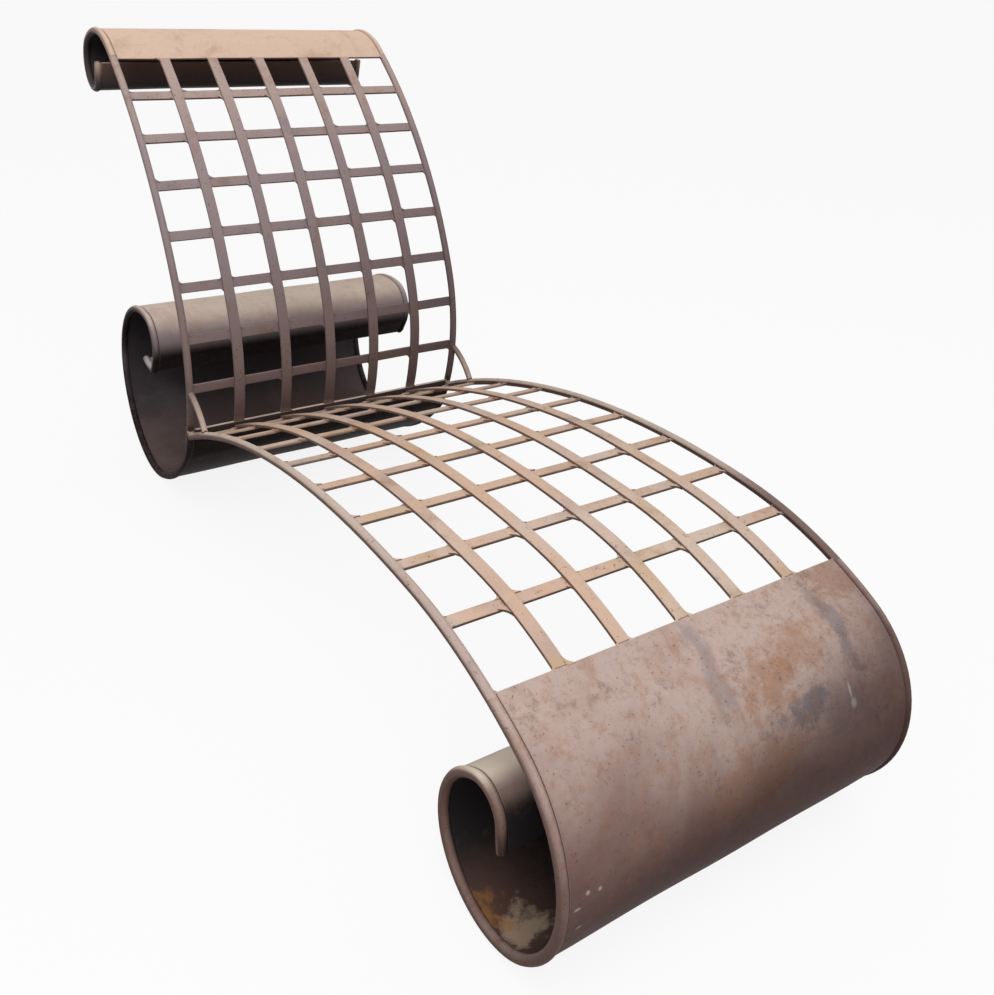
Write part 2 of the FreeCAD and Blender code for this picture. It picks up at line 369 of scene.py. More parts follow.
# Strength of the patches, strength of the grit, facing at which mauve begins and strength of the painted
# shade on the rims' ends
PLATE_MARKS = {
    "front": (1.0, 1.0, -0.20, 0.35),
    "rear": (0.45, 0.28, 0.20, 0.40),
    "head": (0.75, 0.22, -0.60, 0.75),
}


def front_patches(tree, at, finish, colour):
    """Lays patches of scale, rust and rubbed metal with torn borders on the front scroll."""
    torn = times(tree, minus(tree, grain(tree, at.place, 38.0, 8.0, 0.75), 0.5), 3.6)
    for shade_name, centre, reach, top in FRONT_BLOTS:
        cover = blot(tree, at.ragged, centre, reach, top, torn)
        colour = colour_mix(tree, cover, colour, getattr(finish, shade_name))
    return colour


def front_splashes_shade_and_highlight(tree, at, finish, colour, shade_kept):
    """Lays splashes of paint, painted shade on the far side and the foot, and a painted highlight on top of
    the curl, on the front scroll.
    """
    for centre, reach in FRONT_SPLASHES:
        colour = colour_mix(tree, blot(tree, at.place, centre, reach, 0.9), colour, finish.chalk)
    # Painted shade: darker towards the far (+X) side and towards the foot.
    far = math_node(tree, "MULTIPLY_ADD", minus(tree, at.upward, 0.4), -0.55, at.across)
    painted_shade = greater(tree, band_of(tree, far, -0.16, 0.23), band_of(tree, at.height, 0.17, 0.05, 0.75))
    colour = colour_mix(tree, times(tree, painted_shade, shade_kept), colour, finish.shade_tint, "MULTIPLY")
    behind = times(tree, band_of(tree, at.along, -0.735, -0.700), band_of(tree, at.height, 0.15, 0.20))
    behind = times(tree, behind, band_of(tree, at.height, 0.29, 0.24))
    # Painted highlight on the curl's upward faces.
    lit = times(tree, behind, band_of(tree, at.upward, 0.35, 0.90))
    return colour_mix(tree, lit, colour, finish.curl)


def plate_iron(name, finish, end):
    """Rolled plate: pale where it faces up and mauve upright, partly as painted light, with painted shade low
    down and underneath, and with rust, scale and pits.
    """
    material, tree, shader = iron(name)
    at = Surface(tree)
    front = end == "front"
    if end == "rear":
        shader.inputs["Specular IOR Level"].default_value = REAR_SHINE
    patches, grit, mauve_at, rim_shade = PLATE_MARKS[end]
    cloud = grain(tree, at.place, 4.2, 6.0, 0.62, 0.4)
    swing = minus(tree, cloud, 0.5)
    # Mixing tan and mauve by facing paints upward faces lighter, partly painted light.
    lean = math_node(tree, "MULTIPLY_ADD", swing, 2.0 * patches, at.upward)
    tan, mauve = getattr(finish, end + "_tan"), getattr(finish, end + "_mauve")
    colour = colour_mix(tree, band_of(tree, lean, mauve_at, 1.05), mauve, tan)
    bloom = band_of(tree, grain(tree, at.place, 12.0, 8.0, 0.72, 0.5), 0.50, 0.70, 0.50 * patches)
    colour = colour_mix(tree, bloom, colour, finish.rust)
    slant = add(tree, "ShaderNodeMapping", {
        "Vector": at.place, "Rotation": (0.3, 0.5, 0.2), "Scale": (9.0, 2.2, 2.2)})
    streak = grain(tree, slant.outputs["Vector"], 1.3, 6.0, 0.66, 0.8)
    streak = band_of(tree, streak, 0.54, 0.74, 0.42 * patches)
    colour = colour_mix(tree, streak, colour, finish.slate)
    if end == "rear":
        # Painted highlight on the rear scroll's top.
        crest = times(tree, band_of(tree, at.upward, 0.55, 0.98), band_of(tree, cloud, 0.40, 0.58, 0.55))
        colour = colour_mix(tree, crest, colour, finish.curl)
    if front:
        colour = front_patches(tree, at, finish, colour)
    speckle = band_of(tree, grain(tree, at.place, 62.0, 9.0, 0.78, 0.3), 0.47, 0.66, 0.55 * grit)
    colour = colour_mix(tree, speckle, colour, finish.rust)
    old = band_of(tree, grain(tree, at.place, 30.0, 8.0, 0.76, 0.3), 0.53, 0.70, 0.50 * grit)
    colour = colour_mix(tree, old, colour, finish.umber)
    pits = band_of(tree, grain(tree, at.place, 250.0, 3.0, 0.6), 0.62, 0.74, 0.60 * grit)
    colour = colour_mix(tree, pits, colour, finish.soot)
    # Painted shade low down and on faces that point down.
    deepest = 0.98 if end == "rear" else 0.88
    low = band_of(tree, math_node(tree, "MULTIPLY_ADD", swing, 0.30, at.height), 0.33, 0.08, deepest)
    under = band_of(tree, at.upward, 0.30, -0.40, deepest)
    damp_and_shade = greater(tree, low, under)
    # Less painted shade along the front scroll's left rim.
    if front:
        shade_kept = band_of(tree, at.across, -PLATE_SIDE - 0.0005, -PLATE_SIDE - 0.003, 0.55)
        shade_kept = minus(tree, 1.0, shade_kept)
        damp_and_shade = times(tree, damp_and_shade, shade_kept)
    thin = times(tree, damp_and_shade, minus(tree, 1.0, times(tree, speckle, 0.6)))
    colour = colour_mix(tree, thin, colour, finish.rear_shade if end == "rear" else finish.deep_shade)
    if front:
        colour = front_splashes_shade_and_highlight(tree, at, finish, colour, shade_kept)
    seam = math_node(tree, "ABSOLUTE", minus(tree, at.aside, PLATE_SIDE))
    colour = colour_mix(tree, band_of(tree, seam, 0.0036, 0.0008, 0.12), colour, finish.soot)
    # Painted shade on the rims' sideways faces.
    outer = band_of(tree, at.aside, PLATE_SIDE, PLATE_SIDE + 0.002, rim_shade)
    rim = times(tree, outer, band_of(tree, at.sideways, 0.30, 0.90))
    colour = colour_mix(tree, rim, colour, finish.shade_tint, "MULTIPLY")
    colour = colour_mix(tree, times(tree, painted(tree, "rounded_edge"), 0.4), colour, finish.worn)
    # The inside mask lays dark scale and painted shade inside the rolls.
    colour = colour_mix(tree, painted(tree, "inside"), colour, inside_colour(tree, at, finish, end, cloud))
    if end == "rear":
        colour = colour_mix(tree, blot(tree, at.place, *LIP_CUT, 0.8), colour, finish.chalk)
    roughness = math_node(tree, "MULTIPLY_ADD", cloud, 0.22, 0.52)
    relief = minus(tree, grain(tree, at.place, 42.0, 8.0, 0.66), pits)
    close_iron(tree, shader, colour, roughness, relief, 0.0016 * grit)
    return material


def inside_colour(tree, at, finish, end, cloud):
    """Dark scale and painted shade inside a roll, with rust and dust where water lies in the front one."""
    speckle = grain(tree, at.place, 26.0, 6.0, 0.7, 0.4)
    rusted = band_of(tree, speckle, 0.50, 0.66, 0.4)
    colour = colour_mix(tree, rusted, getattr(finish, end + "_inside"), finish.umber)
    if end == "rear":
        colour = colour_mix(tree, band_of(tree, cloud, 0.48, 0.64, 0.6), colour, finish.mist)
        colour = colour_mix(tree, band_of(tree, at.height, 0.12, 0.03, 0.4), colour, finish.umber)
    if end == "front":
        torn = times(tree, minus(tree, speckle, 0.5), 4.0)
        wet = math_node(tree, "MULTIPLY_ADD", torn, 0.010, at.height)
        damp_and_shade = times(tree, band_of(tree, wet, 0.055, 0.010, 0.65), band_of(tree, at.across, -0.14, -0.27))
        colour = colour_mix(tree, damp_and_shade, colour, finish.umber)
        colour = colour_mix(tree, blot(tree, at.ragged, *DUST_POOL, 0.8, torn), colour, finish.dust)
        colour = colour_mix(tree, blot(tree, at.ragged, *RUST_POOL, 0.65, torn), colour, finish.ochre)
    return colour_mix(tree, band_of(tree, speckle, 0.60, 0.70, 0.5), colour, finish.soot)


def bar_iron(name, finish):
    """Bar: tan on the seat, cooler down the back, with rust, scale and flecks, and painted shade lower down
    the back, on side faces, undersides, rounded edges and towards the right.
    """
    material, tree, shader = iron(name)
    at = Surface(tree)
    back = times(tree, band_of(tree, at.along, 0.20, 0.34), band_of(tree, at.height, 0.220, 0.236))
    seat = minus(tree, 1.0, back)
    cloud = grain(tree, at.place, 7.0, 6.0, 0.64, 0.3)
    cool = greater(tree, back, band_of(tree, cloud, 0.47, 0.72, 0.45))
    edge = band_of(tree, at.aside, EDGE_BAR_FROM, EDGE_BAR_TO)
    edge = times(tree, edge, band_of(tree, at.along, -0.25, -0.65))
    bleached = band_of(tree, grain(tree, at.place, 3.3, 4.0, 0.6, 0.5), 0.44, 0.60, 0.65)
    dry = colour_mix(tree, bleached, finish.bar_tan, finish.bar_grey)
    yellowed = band_of(tree, grain(tree, at.place, 5.5, 5.0, 0.6, 0.5), 0.50, 0.64, 0.45)
    dry = colour_mix(tree, yellowed, dry, finish.straw)
    colour = colour_mix(tree, cool, dry, finish.bar_mauve)
    rod = times(tree, band_of(tree, at.aside, EDGE_BAR_FROM, EDGE_BAR_TO, 0.8), seat)
    colour = colour_mix(tree, rod, colour, finish.bar_grey)
    colour = colour_mix(tree, edge, colour, finish.front_tan)
    pale = times(tree, back, band_of(tree, at.height, 0.70, 0.88, 0.9))
    colour = colour_mix(tree, pale, colour, finish.worn)
    # Painted shade on the seat bars' side faces.
    shaded = times(tree, seat, band_of(tree, at.upward, 0.62, 0.0, 0.85))
    colour = colour_mix(tree, shaded, colour, finish.umber)
    # Painted shade on faces that point down.
    under = band_of(tree, at.upward, 0.05, -0.5, 0.7)
    colour = colour_mix(tree, under, colour, finish.umber)
    bloom = band_of(tree, grain(tree, at.place, 19.0, 7.0, 0.70, 0.4), 0.52, 0.72, 0.50)
    colour = colour_mix(tree, bloom, colour, finish.rust)
    scale = band_of(tree, grain(tree, at.place, 11.0, 5.0, 0.62), 0.55, 0.72, 0.40)
    colour = colour_mix(tree, scale, colour, finish.slate)
    near = math_node(tree, "ABSOLUTE", minus(tree, at.along, SEAT_END))
    heat = times(tree, band_of(tree, near, 0.030, 0.004), band_of(tree, cloud, 0.40, 0.60, 0.45))
    heat = times(tree, heat, band_of(tree, at.aside, LATTICE_SIDE + 0.004, LATTICE_SIDE))
    colour = colour_mix(tree, heat, colour, finish.straw)
    flecks = band_of(tree, grain(tree, at.place, 210.0, 3.0, 0.6), 0.62, 0.74, 0.7)
    colour = colour_mix(tree, flecks, colour, finish.soot)
    # Painted shade: the back darker low down and to the right, the right edge bar near the front, and the
    # seat towards the right.
    sunk = math_node(tree, "MULTIPLY_ADD", at.across, -0.35, at.height)
    painted_shade = times(tree, back, band_of(tree, sunk, 0.86, 0.20))
    side = times(tree, band_of(tree, at.across, 0.284, 0.292), band_of(tree, at.along, -0.42, -0.60))
    painted_shade = greater(tree, painted_shade, side)
    painted_shade = greater(tree, painted_shade, times(tree, seat, band_of(tree, at.across, 0.08, 0.30, 0.16)))
    colour = colour_mix(tree, painted_shade, colour, finish.shade_tint, "MULTIPLY")
    # More painted shade at the foot of the back.
    lowest = times(tree, back, band_of(tree, sunk, 0.42, 0.18, 0.40))
    colour = colour_mix(tree, lowest, colour, finish.shade_tint, "MULTIPLY")
    # Painted shade along the bars' rounded edges.
    colour = colour_mix(tree, times(tree, painted(tree, "rounded_edge"), 0.45), colour, finish.umber)
    roughness = math_node(tree, "MULTIPLY_ADD", cloud, 0.22, 0.54)
    relief = minus(tree, grain(tree, at.place, 70.0, 6.0, 0.62), flecks)
    close_iron(tree, shader, colour, roughness, relief, 0.0010)
    return material


def finish_of(name):
    """A material by name, made on its first call."""
    finish = bpy.context.scene.chaise_finish
    if name in bpy.data.materials:
        return bpy.data.materials[name]
    if name == "bar iron":
        return bar_iron(name, finish)
    return plate_iron(name, finish, name.split()[0])


# Forged copies of the stock

def merged(node):
    """A node's solid as joined, flat-sided faces."""
    mesh = bmesh.new()
    mesh.from_mesh(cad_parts[node].data)
    bmesh.ops.remove_doubles(mesh, verts=mesh.verts, dist=1e-5)
    bmesh.ops.dissolve_limit(mesh, angle_limit=math.radians(0.1), verts=mesh.verts, edges=mesh.edges)
    return mesh


def sharp_edges(mesh):
    """Every edge where two faces meet at a plain corner."""
    return [edge for edge in mesh.edges if edge.is_manifold and edge.calc_face_angle() > SHARP_CORNER]


def long_edges(mesh):
    """The edges between a rod's flats, that run along it."""
    found = []
    for edge in sharp_edges(mesh):
        first, second = edge.verts
        along = (second.co - first.co).normalized()
        if edge.calc_face_angle() < ROD_CORNER and abs(along.x) < 0.3:
            found.append(edge)
    return found


def round_edges(mesh, edges, radius, segments):
    """Rounds the edges and paints how far each point lies on a rounding."""
    made = bmesh.ops.bevel(
        mesh, geom=edges, offset=radius, offset_type="OFFSET", segments=segments, profile=0.5, affect="EDGES",
        clamp_overlap=True)
    rounded = set(made["faces"])
    layer = mesh.verts.layers.float.new("rounded_edge")
    for vert in mesh.verts:
        vert[layer] = 1.0 if all(face in rounded for face in vert.link_faces) else 0.0


def roll_centre(node):
    """The middle of a plate's roll, by its lowest face and its outermost one."""
    low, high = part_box(node)
    radius = ROLL_RADIUS[node]
    y = low[1] + radius if node == "front_scroll" else high[1] - radius
    return y, low[2] + radius


def paint_inside(mesh, node, spread):
    """Paints the points that face the middle of a plate's roll, and as much more as the spread says: the mask
    for dark scale and painted shade inside the roll and on a lip's dark side.
    """
    mesh.normal_update()
    layer = mesh.verts.layers.float.new("inside")
    y, z = roll_centre(node)
    for vert in mesh.verts:
        inward = Vector((0.0, y - vert.co.y, z - vert.co.z)).normalized()
        shut = 2.0 * vert.normal.dot(inward) + spread
        if node in LIPS:
            facing, reach, top, fade = LIPS[node]
            if vert.normal.y < facing and vert.co.y > y - reach:
                shut = max(shut, (z + top - vert.co.z) / fade)
        vert[layer] = max(0.0, min(1.0, shut))


def cut_across(mesh, step):
    """Cuts the mesh at even steps across the width, so that it can bend."""
    xs = [vert.co.x for vert in mesh.verts]
    low, high = min(xs), max(xs)
    count = int((high - low) / step)
    for n in range(1, count):
        geometry = mesh.verts[:] + mesh.edges[:] + mesh.faces[:]
        place = Vector((low + (high - low) * n / count, 0.0, 0.0))
        bmesh.ops.bisect_plane(mesh, geom=geometry, dist=1e-6, plane_co=place, plane_no=(1.0, 0.0, 0.0))


def wander_at(place, forge):
    """The small drift of hand-worked metal at a place, dying away at the outer box."""
    inside = min(min(place - BOX_LOW), min(BOX_HIGH - place))
    ease = max(0.0, min(1.0, inside / BOX_EASE))
    scaled = place / forge.wander_span
    return Vector([noise.noise(scaled + field) for field in WANDER_FIELDS]) * forge.wander * ease


def finish_mesh(obj):
    """Shades flat faces flat and rounded edges smooth, and keeps the result as plain mesh."""
    for polygon in obj.data.polygons:
        polygon.use_smooth = True
    weighted = obj.modifiers.new("flat faces lead", "WEIGHTED_NORMAL")
    weighted.mode = "FACE_AREA"
    weighted.weight = 50
    keep_result(obj)


def keep_result(obj):
    """Turns an object's modifiers into plain mesh."""
    bpy.context.view_layer.update()
    graph = bpy.context.evaluated_depsgraph_get()
    shown = obj.evaluated_get(graph)
    result = bpy.data.meshes.new_from_object(shown, preserve_all_data_layers=True, depsgraph=graph)
    obj.modifiers.clear()
    before = obj.data
    obj.data = result
    result.name = obj.name
    bpy.data.meshes.remove(before)


def place_piece(obj):
    """Hangs a finished piece on the one rigid body."""
    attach(obj, "root")


def new_piece(name, data):
    """A linked object at the origin."""
    obj = bpy.data.objects.new(name, data)
    bpy.context.scene.collection.objects.link(obj)
    return obj


def keep_forged(node, mesh, slot, *materials):
    """Puts a worked copy of a node in place of the plain solid."""
    settings = bpy.context.scene.chaise_forge
    for vert in mesh.verts:
        vert.co += wander_at(vert.co, settings)
    data = bpy.data.meshes.new(node + "_forged")
    mesh.to_mesh(data)
    mesh.free()
    obj = new_piece(node + "_forged", data)
    for material in materials:
        data.materials.append(finish_of(material))
    finish_mesh(obj)
    place_piece(obj)
    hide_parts(node)


def forge_flat(node, edge):
    """A flat bar with rounded edges and a slight wander."""
    mesh = merged(node)
    round_edges(mesh, sharp_edges(mesh), edge, 2)
    cut_across(mesh, bpy.context.scene.chaise_forge.step)
    keep_forged(node, mesh, "bar_iron", "bar iron")


def forge_rod(node, edge):
    """A round bar with a slight wander."""
    mesh = merged(node)
    round_edges(mesh, long_edges(mesh), edge, 3)
    for vert in mesh.verts:
        vert[mesh.verts.layers.float["rounded_edge"]] = 0.0
    panel = node.split("_")[0]
    if panel not in RIM_ENDS:
        keep_forged(node, mesh, "bar_iron", "bar iron")
        return
    end = RIM_ENDS[panel]
    if end == "head":
        paint_inside(mesh, "head_scroll", ROD_SPREAD)
    for face in mesh.faces:
        face.material_index = int(on_roll(panel, face.calc_center_median()))
    keep_forged(node, mesh, "bar_iron", "bar iron", end + " plate iron")


def on_roll(panel, place):
    """Whether a place on an edge bar lies beside a rolled plate."""
    if panel == "seat":
        return place.y < SEAT_END or (place.y < SEAT_END + CURL_REACH and place.z < SEAT_LOW + CURL_RISE)
    return panel == "rear" or place.z > BACK_TOP[2] or place.y > BACK_TOP[1]


def forge_plate(node):
    """A rolled plate with rounded edges, a slight wander and its inside painted."""
    settings = bpy.context.scene.chaise_forge
    mesh = merged(node)
    round_edges(mesh, sharp_edges(mesh), settings.plate_edge, 2)
    cut_across(mesh, settings.step)
    paint_inside(mesh, node, PLATE_SPREAD)
    keep_forged(node, mesh, "plate_iron", node.split("_")[0] + " plate iron")


def nodes_named(*starts):
    """Names of the nodes that start with any of these words."""
    found = sorted(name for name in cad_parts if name.startswith(starts))
    if not found:
        raise RuntimeError("no node starts with " + " or ".join(starts))
    return found


# Weld metal in the lattice's corners

def long_narrow_faces(node):
    """Centre, normal and weld height of each long, narrow face that runs across the chaise."""
    mesh = merged(node)
    proud = PLATE_PROUD if node in PLATES else BAR_PROUD
    found = []
    for face in mesh.faces:
        xs = [vert.co.x for vert in face.verts]
        length = max(xs) - min(xs)
        if length > LONG_FACE and face.calc_area() / length < NARROW_FACE:
            top = 0.5 * face.calc_area() / length + proud
            found.append((face.calc_center_median(), face.normal.copy(), top))
    mesh.free()
    return found


def row_edges(panel):
    """Each row of openings as its two bounding faces."""
    first, bars, last = PANELS[panel]
    names = [first] + nodes_named(bars) + [last]
    faces = [long_narrow_faces(name) for name in names]
    rows = []
    for n in range(len(names) - 1):
        pairs = [(a, b) for a in faces[n] for b in faces[n + 1]]
        lower, upper = min(pairs, key=lambda pair: (pair[0][0] - pair[1][0]).length)
        rows.append((lower, upper))
    return rows


def column_edges(panel):
    """Each column of openings as its two bounding positions across the width."""
    sides = []
    for name in nodes_named(panel + "_long_bar_", panel + "_edge_bar_"):
        low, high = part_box(name)
        sides.append((low[0], high[0]))
    sides.sort()
    return [(left[1], right[0]) for left, right in zip(sides[:-1], sides[1:])]


def corner_points(panel, forge_settings, thickness):
    """Place, facing, first leg and size of the weld in each corner of each opening."""
    across = Vector((1.0, 0.0, 0.0))
    points = []
    for row in row_edges(panel):
        for centre, inward, top in row:
            facing = inward.cross(across).normalized()
            if facing.dot(FACE_UP) < 0.0:
                facing = -facing
            onward = facing.cross(across)
            rise = 1.0 if inward.dot(onward) > 0.0 else -1.0
            lift = facing * (top - 0.5 * thickness)
            for left, right in column_edges(panel):
                for x, run in ((left, 1.0), (right, -1.0)):
                    place = Vector((x - WELD_BITE * run, centre.y, centre.z)) - inward * WELD_BITE + lift
                    place += wander_at(place, forge_settings)
                    leg = across * run if run == rise else onward * (rise if run < 0.0 else -1.0)
                    points.append((place, facing, leg, 1.0 if run == rise else LESSER_WELD))
    return points


def geometry_tree(name, inputs):
    """An empty geometry tree with named inputs."""
    tree = bpy.data.node_groups.new(name, "GeometryNodeTree")
    tree.interface.new_socket("Geometry", in_out="INPUT", socket_type="NodeSocketGeometry")
    for label, kind in inputs:
        tree.interface.new_socket(label, in_out="INPUT", socket_type=kind)
    tree.interface.new_socket("Geometry", in_out="OUTPUT", socket_type="NodeSocketGeometry")
    return tree, add(tree, "NodeGroupInput").outputs


def named(tree, attribute, kind):
    """An attribute of the points, by name."""
    node = add(tree, "GeometryNodeInputNamedAttribute", {"Name": attribute}, data_type=kind)
    return node.outputs["Attribute"]


def web_mesh(tree, given):
    """One corner weld: a hollow-sided web with its corner at the origin, legs along X and Y."""
    grid = add(tree, "GeometryNodeMeshGrid", {"Size X": 1.0, "Size Y": 1.0, "Vertices X": 6, "Vertices Y": 4})
    position = add(tree, "GeometryNodeInputPosition").outputs["Position"]
    split = add(tree, "ShaderNodeSeparateXYZ", {"Vector": position})
    u = math_node(tree, "ADD", split.outputs["X"], 0.5)
    v = math_node(tree, "ADD", split.outputs["Y"], 0.5)
    rest = minus(tree, 1.0, u)
    middle = times(tree, times(tree, u, rest), 2.0)
    pull = times(tree, middle, given["Hollow"])
    reach = times(tree, math_node(tree, "MULTIPLY_ADD", v, 0.92, 0.08), given["Leg"])
    first = times(tree, math_node(tree, "ADD", math_node(tree, "POWER", rest, 2.0), pull), reach)
    second = times(tree, math_node(tree, "ADD", math_node(tree, "POWER", u, 2.0), pull), reach)
    half = times(tree, given["Thickness"], 0.5)
    place = add(tree, "ShaderNodeCombineXYZ", {"X": first, "Y": second, "Z": half}).outputs["Vector"]
    laid = add(tree, "GeometryNodeSetPosition", {"Geometry": grid.outputs["Mesh"], "Position": place})
    top = laid.outputs["Geometry"]
    down = add(tree, "ShaderNodeCombineXYZ", {"Z": times(tree, half, -2.0)}).outputs["Vector"]
    pull_down = {"Mesh": top, "Offset": down, "Individual": False}
    body = add(tree, "GeometryNodeExtrudeMesh", pull_down, mode="FACES")
    cap = add(tree, "GeometryNodeFlipFaces", {"Mesh": top})
    joined = tree.nodes.new("GeometryNodeJoinGeometry")
    tree.links.new(body.outputs["Mesh"], joined.inputs["Geometry"])
    tree.links.new(cap.outputs["Mesh"], joined.inputs["Geometry"])
    merge = {"Geometry": joined.outputs["Geometry"], "Distance": 1e-6}
    return add(tree, "GeometryNodeMergeByDistance", merge).outputs["Geometry"]


def corner_weld_tree():
    """Sets a web on every point, turned to its corner and sized by its weight and by chance."""
    inputs = (
        ("Leg", "NodeSocketFloat"), ("Thickness", "NodeSocketFloat"), ("Hollow", "NodeSocketFloat"),
        ("Spread", "NodeSocketFloat"), ("Seed", "NodeSocketInt"), ("Material", "NodeSocketMaterial"))
    tree, given = geometry_tree("corner welds", inputs)
    web = web_mesh(tree, given)
    turn = add(
        tree, "FunctionNodeAxesToRotation",
        {0: named(tree, "facing", "FLOAT_VECTOR"), 1: named(tree, "leg", "FLOAT_VECTOR")},
        primary_axis="Z", secondary_axis="X")
    least = minus(tree, 1.0, given["Spread"])
    most = math_node(tree, "ADD", 1.0, given["Spread"])
    limits = {"Min": least, "Max": most, "Seed": given["Seed"]}
    chance = add(tree, "FunctionNodeRandomValue", limits, data_type="FLOAT")
    drawn = next(s for s in chance.outputs if s.enabled)
    size = times(tree, drawn, named(tree, "weight", "FLOAT"))
    set_on = add(
        tree, "GeometryNodeInstanceOnPoints",
        {"Points": given["Geometry"], "Instance": web, "Rotation": turn.outputs["Rotation"],
         "Scale": size})
    close_tree(tree, set_on.outputs["Instances"], given["Material"])
    return tree


def close_tree(tree, geometry, material):
    """Ends a tree in plain, flat-sided, painted mesh."""
    real = add(tree, "GeometryNodeRealizeInstances", {"Geometry": geometry})
    flat = add(tree, "GeometryNodeSetShadeSmooth", {
        "Geometry": real.outputs["Geometry"], "Shade Smooth": False})
    paint = add(tree, "GeometryNodeSetMaterial", {"Geometry": flat.outputs["Geometry"], "Material": material})
    add(tree, "NodeGroupOutput", {"Geometry": paint.outputs["Geometry"]})


def run_tree(obj, tree, values):
    """Runs a geometry tree on an object with its inputs set, and keeps the plain mesh."""
    modifier = obj.modifiers.new(tree.name, "NODES")
    modifier.node_group = tree
    keys = {item.name: item.identifier for item in tree.interface.items_tree if item.in_out == "INPUT"}
    for label, value in values.items():
        modifier[keys[label]] = value
    keep_result(obj)
    if not obj.data.polygons:
        raise RuntimeError(tree.name + " made no faces")


# Operators

class CHAISE_OT_scroll_plates(bpy.types.Operator):
    """Make the three rolled plates"""
    bl_idname = "chaise.scroll_plates"
    bl_label = "Scroll Plates"

    def execute(self, context):
        for node in PLATES:
            forge_plate(node)
        return {"FINISHED"}


class CHAISE_OT_edge_bars(bpy.types.Operator):
    """Make the round bars along both sides and round the rolls"""
    bl_idname = "chaise.edge_bars"
    bl_label = "Edge Bars"

    def execute(self, context):
        for node in nodes_named(*EDGE_BARS):
            forge_rod(node, context.scene.chaise_forge.rod_edge)
        return {"FINISHED"}


class CHAISE_OT_lattice_bars(bpy.types.Operator):
    """Make the long and cross bars of the back and the seat, and the rail"""
    bl_idname = "chaise.lattice_bars"
    bl_label = "Lattice Bars"

    def execute(self, context):
        kinds = [panel + kind for panel in PANELS for kind in ("_long_bar_", "_cross_bar_")]
        for node in nodes_named("seat_rear_rail", *kinds):
            forge_flat(node, context.scene.chaise_forge.bar_edge)
        return {"FINISHED"}


class CHAISE_OT_braces(bpy.types.Operator):
    """Make the two bowed braces between back and seat"""
    bl_idname = "chaise.braces"
    bl_label = "Braces"

    def execute(self, context):
        for node in nodes_named("brace_"):
            forge_rod(node, context.scene.chaise_forge.brace_edge)
        return {"FINISHED"}


class CHAISE_OT_corner_welds(bpy.types.Operator):
    """Fill the lattice's corners with weld metal"""
    bl_idname = "chaise.corner_welds"
    bl_label = "Corner Welds"

    def execute(self, context):
        weld = context.scene.chaise_weld
        tree = corner_weld_tree()
        for panel in PANELS:
            points = corner_points(panel, context.scene.chaise_forge, weld.thickness)
            data = bpy.data.meshes.new(panel + "_corner_welds")
            data.from_pydata([point[0] for point in points], [], [])
            for index, (label, kind, key) in enumerate((
                    ("facing", "FLOAT_VECTOR", "vector"), ("leg", "FLOAT_VECTOR", "vector"),
                    ("weight", "FLOAT", "value")), 1):
                layer = data.attributes.new(label, kind, "POINT")
                for item, point in zip(layer.data, points):
                    setattr(item, key, point[index])
            obj = new_piece(panel + "_corner_welds", data)
            run_tree(obj, tree, {
                "Leg": getattr(weld, panel + "_leg"), "Thickness": weld.thickness, "Hollow": weld.hollow,
                "Spread": weld.spread, "Seed": weld.seed, "Material": finish_of("bar iron")})
            place_piece(obj)
        return {"FINISHED"}


def seen_rays(tree):
    """One for rays that show a surface to the eye, nought for those that light it."""
    path = add(tree, "ShaderNodeLightPath").outputs
    seen = greater(tree, path["Is Camera Ray"], path["Is Glossy Ray"])
    return greater(tree, seen, path["Is Transmission Ray"])


def floor_material(colour):
    """A pale floor that the camera and reflections see near white, with the object's shadow kept."""
    material = bpy.data.materials.new("pale floor")
    material.use_nodes = True
    tree = material.node_tree
    tree.nodes.clear()
    seen = seen_rays(tree)
    pale = add(tree, "ShaderNodeBsdfDiffuse", {"Color": (*colour, 1.0)})
    glow = add(tree, "ShaderNodeEmission", {"Color": WHITE, "Strength": 1.0})
    shown = add(tree, "ShaderNodeMixShader", {0: FLOOR_SHADE, 1: glow.outputs[0], 2: pale.outputs[0]})
    dim = add(tree, "ShaderNodeBsdfDiffuse", {"Color": (*FLOOR_BOUNCE, 1.0)})
    both = add(tree, "ShaderNodeMixShader", {0: seen, 1: dim.outputs[0], 2: shown.outputs[0]})
    add(tree, "ShaderNodeOutputMaterial", {"Surface": both.outputs[0]})
    return material


def light_world():
    """A white surround to the eye, and a soft sky that fades towards the floor to light the object."""
    world = bpy.data.worlds.new("studio")
    bpy.context.scene.world = world
    world.use_nodes = True
    tree = world.node_tree
    tree.nodes.clear()
    outward = add(tree, "ShaderNodeTexCoord").outputs["Generated"]
    up = add(tree, "ShaderNodeSeparateXYZ", {"Vector": outward}).outputs["Z"]
    sky = band_of(tree, up, -0.05, 0.70, SKY_LEVEL)
    strength = greater(tree, sky, seen_rays(tree))
    shown = add(tree, "ShaderNodeBackground", {"Color": WHITE, "Strength": strength})
    add(tree, "ShaderNodeOutputWorld", {"Surface": shown.outputs[0]})


def overhead_light():
    """A soft square lamp above the foot end."""
    lamp = bpy.data.lights.new("overhead", "AREA")
    lamp.size = LAMP_SIZE
    lamp.energy = LAMP_POWER
    obj = new_piece("overhead", lamp)
    obj.location = LAMP_PLACE
    obj.rotation_mode = "QUATERNION"
    obj.rotation_quaternion = (LAMP_AIM - LAMP_PLACE).to_track_quat("-Z", "Y")


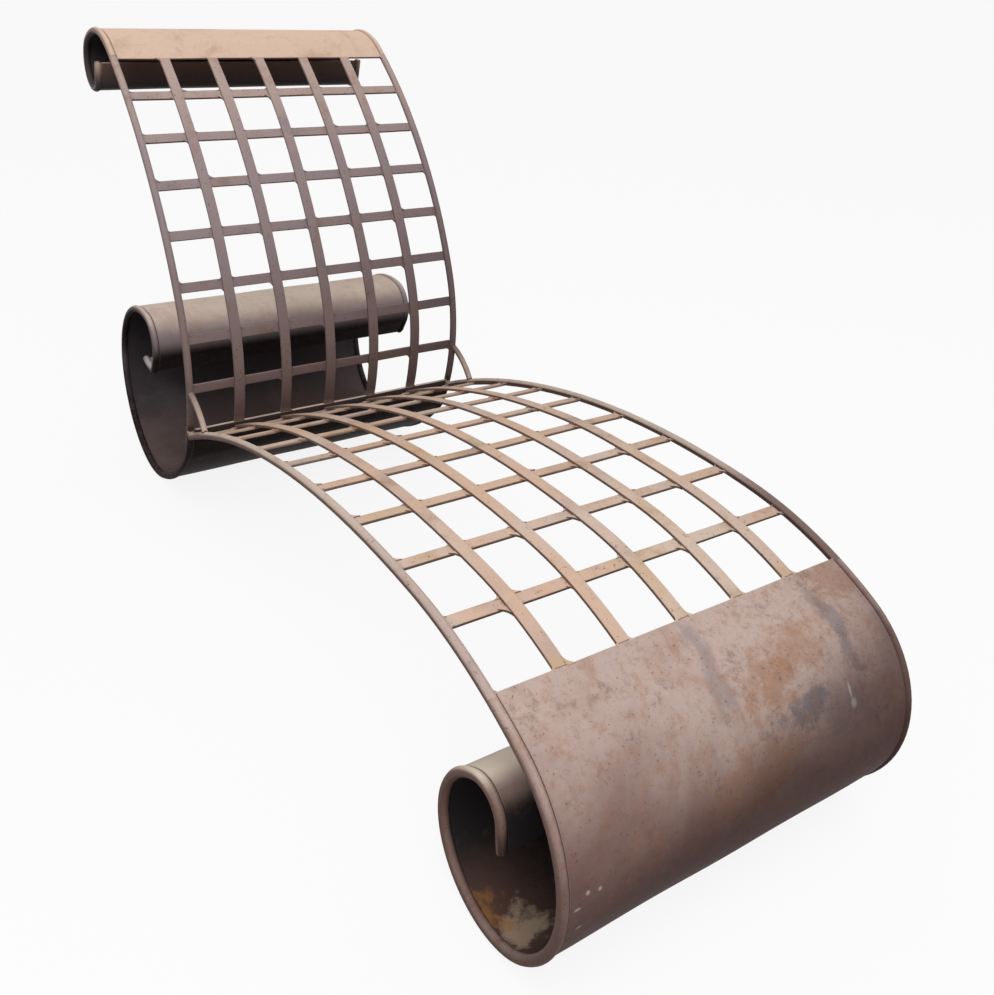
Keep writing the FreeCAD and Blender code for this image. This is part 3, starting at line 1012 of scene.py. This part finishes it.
class CHAISE_OT_stage(bpy.types.Operator):
    """Set out the floor, the light and the camera"""
    bl_idname = "chaise.stage"
    bl_label = "Stage"

    def execute(self, context):
        stage = context.scene.chaise_stage
        corners = [(x * FLOOR_SIDE, y * FLOOR_SIDE, 0.0) for x, y in ((-1, -1), (1, -1), (1, 1), (-1, 1))]
        data = bpy.data.meshes.new("floor")
        data.from_pydata(corners, [], [(0, 1, 2, 3)])
        floor = new_piece("floor", data)
        data.materials.append(floor_material(stage.floor))
        light_world()
        overhead_light()
        turn, rise = stage.azimuth, stage.elevation
        back = Vector((math.sin(turn) * math.cos(rise), -math.cos(turn) * math.cos(rise), math.sin(rise)))
        lens = bpy.data.cameras.new("camera")
        lens.lens = stage.lens
        lens.sensor_width = SENSOR_WIDTH
        lens.shift_x, lens.shift_y = stage.shift
        camera = new_piece("camera", lens)
        camera.location = stage.camera_place
        camera.rotation_mode = "QUATERNION"
        aim = (-back).to_track_quat("-Z", "Y")
        camera.rotation_quaternion = aim @ Quaternion((0.0, 0.0, 1.0), stage.roll)
        context.scene.camera = camera
        context.scene.view_settings.view_transform = "Standard"
        return {"FINISHED"}


class CHAISE_PT_panel(bpy.types.Panel):
    """Lists the steps that dress the chaise"""
    bl_idname = "CHAISE_PT_panel"
    bl_label = "Lattice Chaise Longue"
    bl_space_type = "VIEW_3D"
    bl_region_type = "UI"
    bl_category = "Chaise"

    def draw(self, context):
        for operator in OPERATORS:
            self.layout.operator(operator.bl_idname)
        for settings in SETTINGS:
            group = getattr(context.scene, settings)
            for key in group.bl_rna.properties.keys():
                if key not in ("rna_type", "name"):
                    self.layout.prop(group, key)


OPERATORS = (
    CHAISE_OT_stage, CHAISE_OT_scroll_plates, CHAISE_OT_edge_bars, CHAISE_OT_lattice_bars, CHAISE_OT_braces,
    CHAISE_OT_corner_welds)
SETTINGS = {
    "chaise_forge": ForgeSettings, "chaise_weld": WeldSettings, "chaise_finish": FinishSettings,
    "chaise_stage": StageSettings}


def register():
    for settings in SETTINGS.values():
        bpy.utils.register_class(settings)
    for key, settings in SETTINGS.items():
        setattr(bpy.types.Scene, key, bpy.props.PointerProperty(type=settings))
    for operator in OPERATORS:
        bpy.utils.register_class(operator)
    bpy.utils.register_class(CHAISE_PT_panel)


def unregister():
    bpy.utils.unregister_class(CHAISE_PT_panel)
    for operator in reversed(OPERATORS):
        bpy.utils.unregister_class(operator)
    for key, settings in SETTINGS.items():
        delattr(bpy.types.Scene, key)
        bpy.utils.unregister_class(settings)


def main():
    register()
    bpy.ops.chaise.stage()
    bpy.ops.chaise.scroll_plates()
    bpy.ops.chaise.edge_bars()
    bpy.ops.chaise.lattice_bars()
    bpy.ops.chaise.braces()
    bpy.ops.chaise.corner_welds()


if __name__ == "__main__":
    main()
